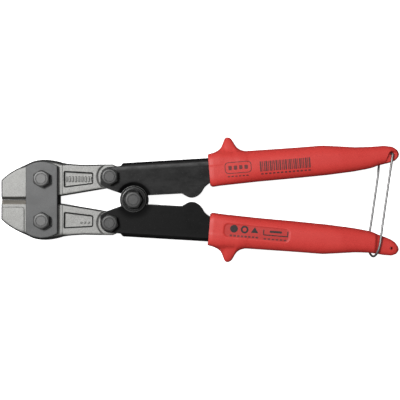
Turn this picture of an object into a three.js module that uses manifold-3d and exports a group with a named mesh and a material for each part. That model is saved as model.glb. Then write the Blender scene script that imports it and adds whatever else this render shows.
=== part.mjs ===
// Compact bolt cutters, 250 mm long, as the assembly that comes apart on a bench: two forged jaws between two
// head plates, two folded sheet levers with moulded grips, a wire bail that keeps the grips shut, and the
// bolts, nuts, washers and spacer that join them. Millimetres.
// The tool lies flat with its jaws shut: +X runs from the jaws to the grips, +Y to the upper handle, and
// +Z up through the bolts. All is modelled about the mid-plane of the jaws, then lifted to rest on z = 0.
// The lower jaw, lever and grip are the upper ones turned over about the X axis.

import * as THREE from 'three';
import { mergeVertices } from 'three/addons/utils/BufferGeometryUtils.js';
import Module from 'manifold-3d';

const wasm = await Module();
wasm.setup();

// ---- Driving dimensions -------------------------------------------------------------------------------

const FIT = 0.3; // running gap between pieces that touch

// The three pivots of the upper half. The jaw turns in the head plates, the lever on the jaw's tail, and the
// two levers on each other at the centre.
const JAW_PIVOT = new THREE.Vector2(-97.8, 13.0);
const LINK_PIVOT = new THREE.Vector2(-56.0, 14.4);
const CENTRE_PIVOT = new THREE.Vector2(-41.2, 0);

const SHANK = 3.0; // radius of every bolt's shank
const BORE = SHANK + FIT;
const SLACK_BORE = BORE + 0.35; // the lower lever's centre holes, which take up the linkage's slack

// Layers through the thickness, measured from the mid-plane.
const JAW_HALF = 4.0;
const BOSS_HALF = 2.95; // the jaw's tail, thinned to enter the lever
const PLATE_INNER = JAW_HALF + FIT;
const PLATE_OUTER = PLATE_INNER + 3.0;
const SHEET = 2.0; // lever sheet
const LEVER_INNER = 3.3;
const LEVER_OUTER = LEVER_INNER + SHEET;
const EAR_INNER = 1.0; // the joggled ear, one sheet and a gap below the straight ear
const EAR_OUTER = EAR_INNER + SHEET;
const WASHER_THICKNESS = 1.4;

const CENTRE_SHIFT = -0.35; // brings the middle of the whole tool to x = 0
const NOSE_X = -124.2;
const NOSE_TOP = 12.2;
const EDGE_Y = 0.15; // each cutting edge stops this far from the centre line
const EDGE_LAND = 0.45; // half thickness of the cutting edge itself
const FRONT_BEVEL = 2.0;
const BACK_BEVEL = 3.0;
const BEVEL_END_X = -107.6;
const ARM_SLOPE = 0.1676; // rise of the jaw arm's inner edge per millimetre
const ARM_START = new THREE.Vector2(-86.8, 2.4); // a point on that edge
const BOSS_RADIUS = 7.5;
const BOSS_STEP_RADIUS = 8.0; // where the thin tail meets the full arm
const JAW_POCKET_DEPTH = 0.8;

const EAR_RADIUS = 8.75;
const TANG_RADIUS = 6.1;
const TANG_RISE = 0.6; // rise of the tang's outer edge toward the web
const JOGGLE_LOW = 8.9; // radius where the joggled sheet starts to rise
const JOGGLE_HIGH = 11.3; // radius where it is level with the side again
const JOGGLE_STEPS = 6; // facets of its S-bend
const WEB_START = new THREE.Vector2(-48.2, 22.95);
const WEB_END_X = WEB_START.x - 1.2; // the web's slanted front edge comes down to the tang here
const WEB_SLOPE = THREE.MathUtils.degToRad(3.4);
const BEND_RADIUS = 2.5;
const TAIL_END_X = 79.5;

const GRIP_ORIGIN = new THREE.Vector2(0, 18); // the grip's own axis starts here
const GRIP_TILT = THREE.MathUtils.degToRad(4.7);
const GRIP_SQUARENESS = { front: 4.5, back: 2.6, from: 10, to: 34 };
const TAB_START = 104; // along the grip's axis
const UPPER_TAB_BEND = 0.3; // how far each grip's end turns outward from its axis
const LOWER_TAB_BEND = 2.6;
const CORD_HOLE = { along: 120.3, across: 0.8, radius: 1.25 };
const RELIEF_Z = 4.1; // height of the short relief beside the cord hole

const WIRE_RADIUS = 0.7;
const BAIL_FRONT = 6.2; // height of the bail's two legs
const BAIL_BACK = -7.4;

const ROUND = 36; // facets round a boss or a hole
const RING = 22; // facets round a grip

// ---- Solids and booleans ------------------------------------------------------------------------------

function signedVolume(positions, triangles) {
  const [a, b, c] = [new THREE.Vector3(), new THREE.Vector3(), new THREE.Vector3()];
  let volume = 0;
  for (let i = 0; i < triangles.length; i += 3) {
    a.fromArray(positions, 3 * triangles[i]);
    b.fromArray(positions, 3 * triangles[i + 1]);
    c.fromArray(positions, 3 * triangles[i + 2]);
    volume += a.dot(b.cross(c)) / 6;
  }
  return volume;
}

// A closed geometry as a manifold solid, with its faces turned outward.
function solid(geometry) {
  const bare = geometry.clone();
  bare.deleteAttribute('normal');
  bare.deleteAttribute('uv');
  const welded = mergeVertices(bare, 1e-5);
  const index = Array.from(welded.index.array);
  const triangles = [];
  for (let i = 0; i < index.length; i += 3) {
    const [a, b, c] = index.slice(i, i + 3);
    if (a !== b && b !== c && c !== a) triangles.push(a, b, c);
  }
  const positions = welded.attributes.position.array;
  if (signedVolume(positions, triangles) < 0) triangles.reverse();
  return new wasm.Manifold(new wasm.Mesh({
    numProp: 3,
    vertProperties: new Float32Array(positions),
    triVerts: new Uint32Array(triangles),
  }));
}

function geometryOf(manifold) {
  const mesh = manifold.getMesh();
  const geometry = new THREE.BufferGeometry();
  geometry.setAttribute('position', new THREE.BufferAttribute(new Float32Array(mesh.vertProperties), 3));
  geometry.setIndex(new THREE.BufferAttribute(new Uint32Array(mesh.triVerts), 1));
  geometry.computeVertexNormals();
  return geometry;
}

function slab(shape, low, high) {
  const options = { depth: high - low, bevelEnabled: false, curveSegments: 9 };
  return solid(new THREE.ExtrudeGeometry(shape, options).translate(0, 0, low));
}

function disc(centre, radius, low, high, facets = ROUND) {
  const geometry = new THREE.CylinderGeometry(radius, radius, high - low, facets);
  return solid(geometry.rotateX(Math.PI / 2).translate(centre.x, centre.y, (low + high) / 2));
}

// A solid of revolution about an upright axis. Each profile point is [radius, height].
function turned(centre, profile, facets = ROUND) {
  const points = profile.map(([radius, height]) => new THREE.Vector2(radius, height));
  const geometry = new THREE.LatheGeometry(points, facets);
  return solid(geometry.rotateX(Math.PI / 2).translate(centre.x, centre.y, 0));
}

function vectors(pairs) {
  return pairs.map(([x, y]) => new THREE.Vector2(x, y));
}

// A closed outline whose corners are cut back by `radius` and rounded.
function roundedPolygon(pairs, radius) {
  const corners = vectors(pairs);
  const shape = new THREE.Shape();
  corners.forEach((corner, i) => {
    const before = corners[(i + corners.length - 1) % corners.length];
    const after = corners[(i + 1) % corners.length];
    const start = corner.clone().add(before.clone().sub(corner).setLength(radius));
    const end = corner.clone().add(after.clone().sub(corner).setLength(radius));
    if (i === 0) shape.moveTo(start.x, start.y);
    else shape.lineTo(start.x, start.y);
    shape.quadraticCurveTo(corner.x, corner.y, end.x, end.y);
  });
  shape.closePath();
  return shape;
}

function mirrored(point) {
  return new THREE.Vector2(point.x, -point.y);
}

// ---- Materials ----------------------------------------------------------------------------------------

function finish(name, color, roughness, metalness) {
  const material = new THREE.MeshStandardMaterial({ color, roughness, metalness });
  material.name = name;
  return material;
}

const forgedSteel = finish('forged_steel', 0xb2b2ac, 0.45, 0.9);
const plateSteel = finish('plate_steel', 0x6c6e70, 0.5, 0.9);
const fastenerSteel = finish('fastener_steel', 0x707173, 0.45, 0.9);
const blackLacquer = finish('black_lacquer', 0x232323, 0.45, 0.1);
const redPlastic = finish('red_plastic', 0xc8372f, 0.5, 0.0);
const brightWire = finish('bright_wire', 0xcfd0d2, 0.2, 1.0);

// ---- Jaws and head plates -----------------------------------------------------------------------------

function jawOutline() {
  const slope = Math.atan(ARM_SLOPE);
  const heel = JAW_PIVOT.y - EDGE_Y;
  const along = new THREE.Vector2(Math.cos(slope), Math.sin(slope));
  const across = new THREE.Vector2(-Math.sin(slope), Math.cos(slope));
  // The angle at which the inner edge of the arm leaves a circle about one of the pivots.
  const leave = (centre, radius, side) => {
    const distance = ARM_START.clone().sub(centre).dot(across);
    const run = side * Math.sqrt(radius * radius - distance * distance);
    const point = across.clone().multiplyScalar(distance).addScaledVector(along, run);
    return Math.atan2(point.y, point.x);
  };
  const shape = new THREE.Shape();
  shape.moveTo(NOSE_X, EDGE_Y);
  shape.lineTo(NOSE_X, NOSE_TOP);
  shape.quadraticCurveTo(-120.0, 16.6, -113.2, 19.85);
  shape.lineTo(-106.0, 23.5);
  shape.bezierCurveTo(-101.8, 25.6, -93.5, 25.8, -86.0, 23.2);
  shape.quadraticCurveTo(-81.0, 22.1, -72.0, 21.9);
  shape.lineTo(-54.6, 22.2);
  shape.lineTo(-51.5, 20.8);
  shape.absarc(LINK_PIVOT.x, LINK_PIVOT.y, BOSS_RADIUS, Math.PI / 4,
    leave(LINK_PIVOT, BOSS_RADIUS, -1), true);
  shape.absarc(JAW_PIVOT.x, JAW_PIVOT.y, heel, leave(JAW_PIVOT, heel, 1), -Math.PI / 2, true);
  shape.closePath();
  return shape;
}

// The wedge that is ground off one face of a jaw along its cutting edge.
function bevelCut(side, width) {
  const steep = (JAW_HALF - EDGE_LAND) / width;
  const shape = new THREE.Shape(vectors([
    [EDGE_Y - 1, side * (EDGE_LAND - steep)],
    [EDGE_Y + width + 1, side * (JAW_HALF + steep)],
    [EDGE_Y - 1, side * (JAW_HALF + steep)],
  ]));
  const length = BEVEL_END_X - NOSE_X + 2;
  const geometry = new THREE.ExtrudeGeometry(shape, { depth: length, bevelEnabled: false });
  const turn = new THREE.Matrix4().makeBasis(
    new THREE.Vector3(0, 1, 0), new THREE.Vector3(0, 0, 1), new THREE.Vector3(1, 0, 0),
  );
  return solid(geometry.applyMatrix4(turn).translate(NOSE_X - 2, 0, 0));
}

function buildJaw() {
  let jaw = slab(jawOutline(), -JAW_HALF, JAW_HALF);
  jaw = jaw.subtract(disc(JAW_PIVOT, BORE, -JAW_HALF - 1, JAW_HALF + 1));
  jaw = jaw.subtract(disc(LINK_PIVOT, BORE, -JAW_HALF - 1, JAW_HALF + 1));
  jaw = jaw.subtract(bevelCut(1, FRONT_BEVEL)).subtract(bevelCut(-1, BACK_BEVEL));
  const pocket = roundedPolygon([[-85.0, 7.4], [-66.4, 9.7], [-66.5, 17.1], [-85.2, 18.1]], 1.4);
  for (const side of [-1, 1]) {
    const pocketFloor = side * (JAW_HALF - JAW_POCKET_DEPTH);
    const bossFace = side * BOSS_HALF;
    const outside = side * (JAW_HALF + 1);
    jaw = jaw.subtract(slab(pocket, Math.min(pocketFloor, outside), Math.max(pocketFloor, outside)));
    jaw = jaw.subtract(disc(LINK_PIVOT, BOSS_STEP_RADIUS,
      Math.min(bossFace, outside), Math.max(bossFace, outside)));
  }
  return jaw;
}

function buildHeadPlate(low, high) {
  const half = 20.7;
  const crown = 26.7;
  const shape = new THREE.Shape();
  shape.moveTo(-108.1, -half);
  shape.lineTo(-108.1, half);
  shape.quadraticCurveTo(-98.2, crown, -88.4, half + 0.2);
  shape.lineTo(-88.4, -half - 0.2);
  shape.quadraticCurveTo(-98.2, -crown, -108.1, -half);
  let plate = slab(shape, low, high);
  for (const pivot of [JAW_PIVOT, mirrored(JAW_PIVOT)]) {
    plate = plate.subtract(disc(pivot, BORE, low - 1, high + 1));
  }
  return plate;
}

// ---- Levers -------------------------------------------------------------------------------------------

function webY(x) {
  return WEB_START.y + (x - WEB_START.x) * Math.tan(WEB_SLOPE);
}

// The side of a lever: tang on the jaw, ear on the centre pivot, stop, and the narrow tail inside the grip.
function leverOutline() {
  const shape = new THREE.Shape();
  const tangLeft = LINK_PIVOT.x - TANG_RADIUS;
  shape.moveTo(tangLeft, 10.0);
  shape.lineTo(tangLeft, LINK_PIVOT.y);
  shape.absarc(LINK_PIVOT.x, LINK_PIVOT.y, TANG_RADIUS, Math.PI, Math.PI / 2, true);
  shape.lineTo(WEB_END_X, LINK_PIVOT.y + TANG_RADIUS + TANG_RISE);
  shape.lineTo(WEB_START.x, WEB_START.y);
  shape.lineTo(TAIL_END_X, webY(TAIL_END_X));
  shape.lineTo(TAIL_END_X + 1, webY(TAIL_END_X) - 12.0);
  shape.lineTo(9.2, 12.7);
  shape.lineTo(6.2, 10.4);
  shape.quadraticCurveTo(3.4, 8.8, 2.2, 6.6);
  shape.quadraticCurveTo(0.6, 3.4, -2.2, 2.0);
  shape.quadraticCurveTo(-5.6, 0.3, -8.8, 2.4);
  shape.lineTo(-11.4, 3.9);
  shape.lineTo(-32.6, 2.8);
  const right = Math.atan2(2.8, -32.6 - CENTRE_PIVOT.x);
  const left = Math.atan2(3.9, -49.3 - CENTRE_PIVOT.x);
  shape.absarc(CENTRE_PIVOT.x, CENTRE_PIVOT.y, EAR_RADIUS, right, left, true);
  shape.lineTo(-58.2, 7.1);
  shape.lineTo(tangLeft + 1.2, 8.6);
  shape.quadraticCurveTo(tangLeft, 9.0, tangLeft, 10.0);
  return shape;
}

// A long bar with the section of the folded sheet: flat sides and an outer edge with bend radii.
function foldedSection() {
  const depth = 60;
  const corner = LEVER_OUTER - BEND_RADIUS;
  const shape = new THREE.Shape();
  shape.moveTo(-LEVER_OUTER, -depth);
  shape.lineTo(LEVER_OUTER, -depth);
  shape.lineTo(LEVER_OUTER, -BEND_RADIUS);
  shape.absarc(corner, -BEND_RADIUS, BEND_RADIUS, 0, Math.PI / 2, false);
  shape.lineTo(-corner, 0);
  shape.absarc(-corner, -BEND_RADIUS, BEND_RADIUS, Math.PI / 2, Math.PI, false);
  shape.closePath();
  const startX = LINK_PIVOT.x - 2 * TANG_RADIUS;
  const length = TAIL_END_X - startX + 10;
  const geometry = new THREE.ExtrudeGeometry(shape, { depth: length, bevelEnabled: false, curveSegments: 4 });
  const along = new THREE.Vector3(Math.cos(WEB_SLOPE), Math.sin(WEB_SLOPE), 0);
  const across = new THREE.Vector3(-Math.sin(WEB_SLOPE), Math.cos(WEB_SLOPE), 0);
  const place = new THREE.Matrix4().makeBasis(new THREE.Vector3(0, 0, 1), across, along.clone().negate());
  const end = new THREE.Vector3(startX, webY(startX), 0).addScaledVector(along, length);
  return solid(geometry.applyMatrix4(place).translate(end.x, end.y, end.z));
}

// Half the section of the joggled ear as [radius, height]: flat, an S-bend up, and level with the side.
function joggleProfile() {
  const inner = [];
  const outer = [];
  for (let k = 0; k <= JOGGLE_STEPS; k += 1) {
    const share = k / JOGGLE_STEPS;
    const radius = THREE.MathUtils.lerp(JOGGLE_LOW, JOGGLE_HIGH, share);
    const rise = (LEVER_INNER - EAR_INNER) * 0.5 * (1 - Math.cos(Math.PI * share));
    inner.push([radius, EAR_INNER + rise]);
    outer.unshift([radius, EAR_OUTER + rise]);
  }
  const overlap = JOGGLE_HIGH + 0.3;
  return [[0, EAR_INNER], ...inner, [overlap, LEVER_INNER], [overlap, LEVER_OUTER], ...outer, [0, EAR_OUTER]];
}

// The upper lever. Its front ear is joggled inward, so that the other lever's straight ear lies over it.
function buildLever(centreBore) {
  const outline = leverOutline();
  const full = slab(outline, -LEVER_OUTER, LEVER_OUTER).intersect(foldedSection());
  const hollow = slab(new THREE.Shape(vectors([
    [-80, -30], [-80, 30], [WEB_END_X, 30], [WEB_END_X, webY(WEB_END_X) - SHEET], [120, webY(120) - SHEET],
    [120, -30],
  ])), -LEVER_INNER, LEVER_INNER);
  const joggled = turned(CENTRE_PIVOT, joggleProfile());
  let lever = full.subtract(hollow);
  lever = lever.subtract(disc(CENTRE_PIVOT, JOGGLE_HIGH, LEVER_INNER - 1, LEVER_OUTER + 1));
  lever = lever.add(slab(outline, EAR_INNER, LEVER_OUTER).intersect(joggled));
  lever = lever.subtract(disc(LINK_PIVOT, BORE, -LEVER_OUTER - 1, LEVER_OUTER + 1));
  return lever.subtract(disc(CENTRE_PIVOT, centreBore, -LEVER_OUTER - 1, LEVER_OUTER + 1));
}

// ---- Grips --------------------------------------------------------------------------------------------

// Profiles along the grip's axis as [along, half size]: outer edge with the thumb guard, inner edge, and the
// half thickness on the face with the short relief and on the face with the long shoulder.
const GRIP_OUTER = [
  [5.7, 10.0], [9.0, 10.7], [12.0, 11.8], [14.3, 13.4], [16.0, 16.5], [17.2, 18.7], [18.4, 19.6],
  [19.6, 19.5], [21.2, 18.7], [22.3, 16.5], [23.8, 13.4], [26.3, 11.2], [30, 10.2], [60, 9.8], [78, 9.7],
  [90, 8.1], [98, 7.0], [107, 6.5], [116, 6.3], [121.4, 5.2], [124.1, 3.1], [125.4, 0.5],
];
const GRIP_INNER = [
  [5.7, 9.4], [7.0, 10.6], [12, 10.2], [36, 9.6], [58, 9.4], [80, 9.0], [96, 8.2], [104, 7.4], [108, 6.8],
  [112, 5.7], [119.3, 4.7], [122.3, 3.9], [124.5, 2.0], [125.4, 0.3],
];
const GRIP_FRONT = [
  [5.7, 7.6], [8, 8.0], [88, 7.8], [104, 6.6], [119, 5.9], [123, 4.7], [124.7, 2.6], [125.4, 0.4],
];
const GRIP_BACK = [
  [5.7, 7.6], [8, 8.0], [88, 7.8], [104, 6.6], [109.4, 6.2], [110.3, 4.9], [111.2, 4.2], [121, 4.0],
  [123.4, 3.4], [124.7, 2.1], [125.4, 0.4],
];

function along(profile, u) {
  const next = profile.findIndex(([station]) => station >= u);
  if (next <= 0) return profile[0][1];
  const [[u0, v0], [u1, v1]] = [profile[next - 1], profile[next]];
  return THREE.MathUtils.mapLinear(u, u0, u1, v0, v1);
}

// How far the grip's axis has turned outward at this station.
function tabLift(u, bend) {
  return u > TAB_START ? bend * ((u - TAB_START) / 20) ** 2 : 0;
}

function gripStations() {
  const stations = new Set();
  for (const profile of [GRIP_OUTER, GRIP_INNER, GRIP_FRONT, GRIP_BACK]) {
    for (const [u] of profile) stations.add(u);
  }
  for (let u = 34; u < 122; u += 8) stations.add(u);
  const sorted = [...stations].sort((a, b) => a - b);
  return sorted.filter((u, i) => i === 0 || i === sorted.length - 1 || u - sorted[i - 1] >= 0.3);
}

// One rounded section of the grip: a superellipse with its own reach to each of the four sides.
function gripRing(u, bend) {
  const { front, back, from, to } = GRIP_SQUARENESS;
  const squareness = THREE.MathUtils.lerp(front, back, THREE.MathUtils.smoothstep(u, from, to));
  const ring = [];
  for (let i = 0; i < RING; i += 1) {
    const angle = (2 * Math.PI * (i + 0.5)) / RING;
    const [c, s] = [Math.cos(angle), Math.sin(angle)];
    const reachV = along(s > 0 ? GRIP_OUTER : GRIP_INNER, u);
    const reachZ = along(c > 0 ? GRIP_FRONT : GRIP_BACK, u);
    const v = Math.sign(s) * reachV * Math.abs(s) ** (2 / squareness);
    const z = Math.sign(c) * reachZ * Math.abs(c) ** (2 / squareness);
    ring.push(new THREE.Vector3(u, v + tabLift(u, bend), z));
  }
  return ring;
}

function loft(rings) {
  const size = rings[0].length;
  const positions = rings.flat().flatMap((point) => point.toArray());
  const triangles = [];
  const cap = (start, flip) => {
    for (let i = 1; i < size - 1; i += 1) {
      triangles.push(start, start + (flip ? i + 1 : i), start + (flip ? i : i + 1));
    }
  };
  for (let r = 0; r < rings.length - 1; r += 1) {
    for (let i = 0; i < size; i += 1) {
      const [a, b] = [r * size + i, r * size + ((i + 1) % size)];
      triangles.push(a, b, b + size, a, b + size, a + size);
    }
  }
  cap(0, true);
  cap((rings.length - 1) * size, false);
  const geometry = new THREE.BufferGeometry();
  geometry.setAttribute('position', new THREE.Float32BufferAttribute(positions, 3));
  geometry.setIndex(triangles);
  return geometry;
}

const gripFrame = new THREE.Matrix4().makeRotationZ(GRIP_TILT).setPosition(GRIP_ORIGIN.x, GRIP_ORIGIN.y, 0);

function inGripFrame(shape, low, high) {
  const geometry = new THREE.ExtrudeGeometry(shape, { depth: high - low, bevelEnabled: false });
  return solid(geometry.translate(0, 0, low).applyMatrix4(gripFrame));
}

// The socket that the lever's tail fills, wider at its mouth.
function gripSocket() {
  const toGrip = gripFrame.clone().invert();
  const tailEnd = new THREE.Vector3(TAIL_END_X + 1, webY(TAIL_END_X), 0).applyMatrix4(toGrip);
  const mouth = new THREE.Vector3(0, webY(0), 0).applyMatrix4(toGrip);
  const shape = new THREE.Shape(vectors([
    [mouth.x, mouth.y + FIT], [tailEnd.x + 2 * FIT, tailEnd.y + FIT], [tailEnd.x + 2 * FIT, tailEnd.y - 12.6],
    [9.2, -6.9], [5.0, -8.9], [mouth.x, -8.9],
  ]));
  return inGripFrame(shape, -LEVER_OUTER - FIT, LEVER_OUTER + FIT);
}

function buildGrip(bend) {
  const body = solid(loft(gripStations().map((u) => gripRing(u, bend))).applyMatrix4(gripFrame));
  const hole = new THREE.Path();
  const { along: holeU, across: holeV, radius } = CORD_HOLE;
  const holeLift = holeV + tabLift(holeU, bend);
  const reliefU = holeU - 1.9;
  hole.absarc(holeU, holeLift, radius, 0, 2 * Math.PI);
  const bore = inGripFrame(new THREE.Shape(hole.getPoints(8)), -20, 20);
  // The relief that the bail's leg swings through, on one side of a line just behind the hole.
  const relief = new THREE.Shape(vectors([
    [reliefU, holeLift + 0.6], [reliefU - 5, holeLift - 11], [holeU + 12, holeLift - 11],
    [holeU + 12, holeLift + 0.6],
  ]));
  return body.subtract(gripSocket()).subtract(bore).subtract(inGripFrame(relief, RELIEF_Z, 20));
}

// ---- Fasteners ----------------------------------------------------------------------------------------

// A hexagon between two heights, chamfered on its far face, which is the upper one where `up` is true.
function hexagon(centre, acrossFlats, low, high, turn, up) {
  const corner = acrossFlats / Math.sqrt(3);
  const chamfer = 0.7;
  const face = acrossFlats / 2 - 0.6;
  const prism = new THREE.CylinderGeometry(corner, corner, high - low, 6);
  prism.rotateX(Math.PI / 2).rotateZ(turn).translate(centre.x, centre.y, (low + high) / 2);
  const profile = up
    ? [[0, low], [corner + 0.1, low], [corner + 0.1, high - chamfer], [face, high], [0, high]]
    : [[0, low], [face, low], [corner + 0.1, low + chamfer], [corner + 0.1, high], [0, high]];
  return solid(prism).intersect(turned(centre, profile, 30));
}

function buildBolt(centre, acrossFlats, seat, headHeight, end, turn) {
  const head = hexagon(centre, acrossFlats, seat, seat + headHeight, turn, true);
  return head.add(turned(centre, [
    [0, end], [SHANK - 0.5, end], [SHANK, end + 0.5], [SHANK, seat + 1], [0, seat + 1],
  ], 24));
}

function buildNut(centre, acrossFlats, seat, height, turn) {
  const nut = hexagon(centre, acrossFlats, seat - height, seat, turn, false);
  return nut.subtract(disc(centre, BORE, seat - height - 1, seat + 1, 24));
}

function buildWasher(centre, radius, low, high) {
  return disc(centre, radius, low, high).subtract(disc(centre, BORE, low - 1, high + 1, 24));
}

// ---- Wire bail ----------------------------------------------------------------------------------------

// The bail's pivot: the cord hole of the upper grip.
const bailPivot = new THREE.Vector3(
  CORD_HOLE.along, CORD_HOLE.across + tabLift(CORD_HOLE.along, UPPER_TAB_BEND), 0,
).applyMatrix4(gripFrame);

// One length of wire. Both ends sit in the upper grip's hole, the legs run down past both faces of the lower
// grip, and the bend between them passes round the lower grip's outer edge.
function bailRoute() {
  const { x, y } = bailPivot;
  const lean = 0.1445; // the legs lean toward the jaws as they go down
  const frontX = (atY) => 115.65 + lean * atY;
  const backX = (atY) => 111.1 + lean * atY;
  const bendY = -29.2;
  const bendReach = 6.4;
  const points = [[x, y, 0.4], [x, y, 4.4], [x, y - 0.5, 5.8]];
  for (const atY of [y - 2, 14, 0, -14, bendY]) points.push([frontX(atY), atY, BAIL_FRONT]);
  for (const degrees of [30, 60, 90, 120, 150]) {
    const angle = THREE.MathUtils.degToRad(degrees);
    const share = degrees / 180;
    points.push([
      THREE.MathUtils.lerp(frontX(bendY), backX(bendY), share) - 0.4 * Math.sin(angle),
      bendY - bendReach * Math.sin(angle),
      (BAIL_FRONT + BAIL_BACK) / 2 + ((BAIL_FRONT - BAIL_BACK) / 2) * Math.cos(angle),
    ]);
  }
  for (const atY of [bendY, -14, 0, 14, y - 3.4]) points.push([backX(atY), atY, BAIL_BACK]);
  points.push([x - 2.6, y - 0.7, -6.5], [x, y, -4.6], [x, y, -0.4]);
  return points.map((point) => new THREE.Vector3(...point));
}

function buildBail() {
  const route = new THREE.CatmullRomCurve3(bailRoute(), false, 'centripetal');
  const section = new THREE.Shape(new THREE.Path().absarc(0, 0, WIRE_RADIUS, 0, 2 * Math.PI).getPoints(4));
  return new THREE.ExtrudeGeometry(section, { steps: 90, bevelEnabled: false, extrudePath: route });
}

// ---- Assembly -----------------------------------------------------------------------------------------

const group = new THREE.Group();
const upperHalf = new THREE.Group();
const lowerHalf = new THREE.Group();
const fasteners = new THREE.Group();
lowerHalf.rotation.x = Math.PI;
group.add(upperHalf, lowerHalf, fasteners);

function place(parent, name, material, body) {
  const geometry = body.isBufferGeometry ? body : geometryOf(body);
  const mesh = new THREE.Mesh(geometry, material);
  mesh.name = name;
  parent.add(mesh);
}

place(upperHalf, 'upper_jaw', forgedSteel, buildJaw());
place(lowerHalf, 'lower_jaw', forgedSteel, buildJaw());
place(upperHalf, 'upper_lever', blackLacquer, buildLever(BORE));
place(lowerHalf, 'lower_lever', blackLacquer, buildLever(SLACK_BORE));
place(upperHalf, 'upper_grip', redPlastic, buildGrip(UPPER_TAB_BEND));
place(lowerHalf, 'lower_grip', redPlastic, buildGrip(LOWER_TAB_BEND));
place(group, 'front_head_plate', plateSteel, buildHeadPlate(PLATE_INNER, PLATE_OUTER));
place(group, 'rear_head_plate', plateSteel, buildHeadPlate(-PLATE_OUTER, -PLATE_INNER));
place(group, 'wire_bail', brightWire, buildBail());

const JAW_BOLT = { flats: 9.6, head: 4.4, nut: 4.6 };
const LINK_BOLT = { flats: 9.7, head: 4.0, nut: 4.6, shorter: 2 };
const CENTRE_BOLT = { flats: 9.9, head: 4.2, nut: 5.0 };
const WASHER_RADIUS = 7.9;
const SPACER_RADIUS = 6.0;
const jawSeat = PLATE_OUTER + FIT;
const linkSeat = LEVER_OUTER + FIT;
const washerTop = linkSeat + WASHER_THICKNESS;
const centreSeat = washerTop + FIT;
const boltEnd = -13.2; // every bolt ends level, so the tool lies on them

function placeBolt(name, centre, { flats, head }, seat, end, turn) {
  place(fasteners, name, fastenerSteel, buildBolt(centre, flats, seat, head, end, turn));
}

function placeNut(name, centre, { flats, nut }, seat, turn) {
  place(fasteners, name, fastenerSteel, buildNut(centre, flats, -seat, nut, turn));
}

function placeWasher(name, radius, low, high) {
  place(fasteners, name, fastenerSteel, buildWasher(CENTRE_PIVOT, radius, low, high));
}

for (const [half, side, linkTurn] of [['upper', 1, 0], ['lower', -1, 0.2]]) {
  const jawPivot = new THREE.Vector2(JAW_PIVOT.x, side * JAW_PIVOT.y);
  const linkPivot = new THREE.Vector2(LINK_PIVOT.x, side * LINK_PIVOT.y);
  placeBolt(`${half}_jaw_bolt`, jawPivot, JAW_BOLT, jawSeat, boltEnd, 0);
  placeNut(`${half}_jaw_nut`, jawPivot, JAW_BOLT, jawSeat, 0);
  placeBolt(`${half}_link_bolt`, linkPivot, LINK_BOLT, linkSeat, boltEnd + LINK_BOLT.shorter, linkTurn);
  placeNut(`${half}_link_nut`, linkPivot, LINK_BOLT, linkSeat, linkTurn);
}

placeBolt('centre_bolt', CENTRE_PIVOT, CENTRE_BOLT, centreSeat, boltEnd, Math.PI / 6);
placeNut('centre_nut', CENTRE_PIVOT, CENTRE_BOLT, centreSeat, 0);
placeWasher('front_centre_washer', WASHER_RADIUS, linkSeat, washerTop);
placeWasher('rear_centre_washer', WASHER_RADIUS, -washerTop, -linkSeat);
placeWasher('centre_spacer', SPACER_RADIUS, -EAR_INNER + FIT, EAR_INNER - FIT);

group.position.set(CENTRE_SHIFT, 0, -boltEnd);

export default group;
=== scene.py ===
"""Compact bolt cutters, as they look: forged jaws between two head plates, folded black levers, red moulded
grips and the wire bail that keeps them shut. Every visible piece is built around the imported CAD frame.

Shapes are drawn in millimetres about the mid-plane of the jaws, with +X from the jaws to the grips. The
lower half is the upper half turned over about the X axis. in_frame() takes both into the shared frame.
"""

import math

import bmesh
import bpy
import numpy as np
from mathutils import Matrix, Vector, noise
from mathutils.bvhtree import BVHTree
from mathutils.geometry import delaunay_2d_cdt
from numpy.linalg import norm


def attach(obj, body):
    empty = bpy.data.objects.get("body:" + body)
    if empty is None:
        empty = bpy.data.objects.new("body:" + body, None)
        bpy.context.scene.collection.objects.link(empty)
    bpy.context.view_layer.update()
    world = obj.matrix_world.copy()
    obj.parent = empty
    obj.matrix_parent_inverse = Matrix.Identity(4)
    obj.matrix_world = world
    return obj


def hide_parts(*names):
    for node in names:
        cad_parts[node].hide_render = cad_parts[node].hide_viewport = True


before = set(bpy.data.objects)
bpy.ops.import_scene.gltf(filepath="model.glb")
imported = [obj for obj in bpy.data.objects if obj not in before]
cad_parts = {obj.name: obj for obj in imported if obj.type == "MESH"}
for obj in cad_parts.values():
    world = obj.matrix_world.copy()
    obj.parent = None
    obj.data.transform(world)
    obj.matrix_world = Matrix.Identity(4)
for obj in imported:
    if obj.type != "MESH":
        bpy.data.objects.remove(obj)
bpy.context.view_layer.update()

# ---- Dimensions, in millimetres ----

MM = 0.001
SHIFT = -0.35  # brings the middle of the whole tool to x = 0
LIFT = 13.2  # height of the jaws' mid-plane above the floor

JAW_PIVOT = np.array((-97.8, 13.0))
LINK_PIVOT = np.array((-56.0, 14.4))
CENTRE_PIVOT = np.array((-41.2, 0.0))

SHANK = 3.0
BORE = 3.3
JAW_HALF = 4.0
BOSS_HALF = 2.95
PLATE_INNER = 4.3
PLATE_OUTER = 7.3

NOSE_X = -124.2
NOSE_TOP = 12.2
EDGE_Y = 0.03  # each cutting edge stops this far from the centre line
EDGE_LAND = 0.45
EDGE_SHADE_STRIP = 0.25  # the wide bevel takes the narrow bevel's dark colour this close to the edge, painted shade where the jaws meet
FRONT_BEVEL = 2.0
BACK_BEVEL = 3.0
BEVEL_END_X = -107.6
ARM_SLOPE = 0.1676
ARM_START = np.array((-86.8, 2.4))
BOSS_RADIUS = 7.5
BOSS_STEP_RADIUS = 8.0
BOSS_STEP = (-0.4, 0.8)  # where the visible step starts and ends, from that radius
STEP_HALF = 0.15  # half the width of the small steps round the seat
POCKET = [(-85.0, 7.4), (-66.4, 9.7), (-66.5, 17.1), (-85.2, 18.1)]
POCKET_CORNER = 1.4
POCKET_DEPTH = 0.95
POCKET_WALL = 1.1  # width of the pocket's sloping wall
SEAT_X = (-109.7, -85.9)  # the machined seat under the head plates
UNDER_PLATE_X = -106.5  # on the narrow bevel's face the seat starts under the plate
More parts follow.
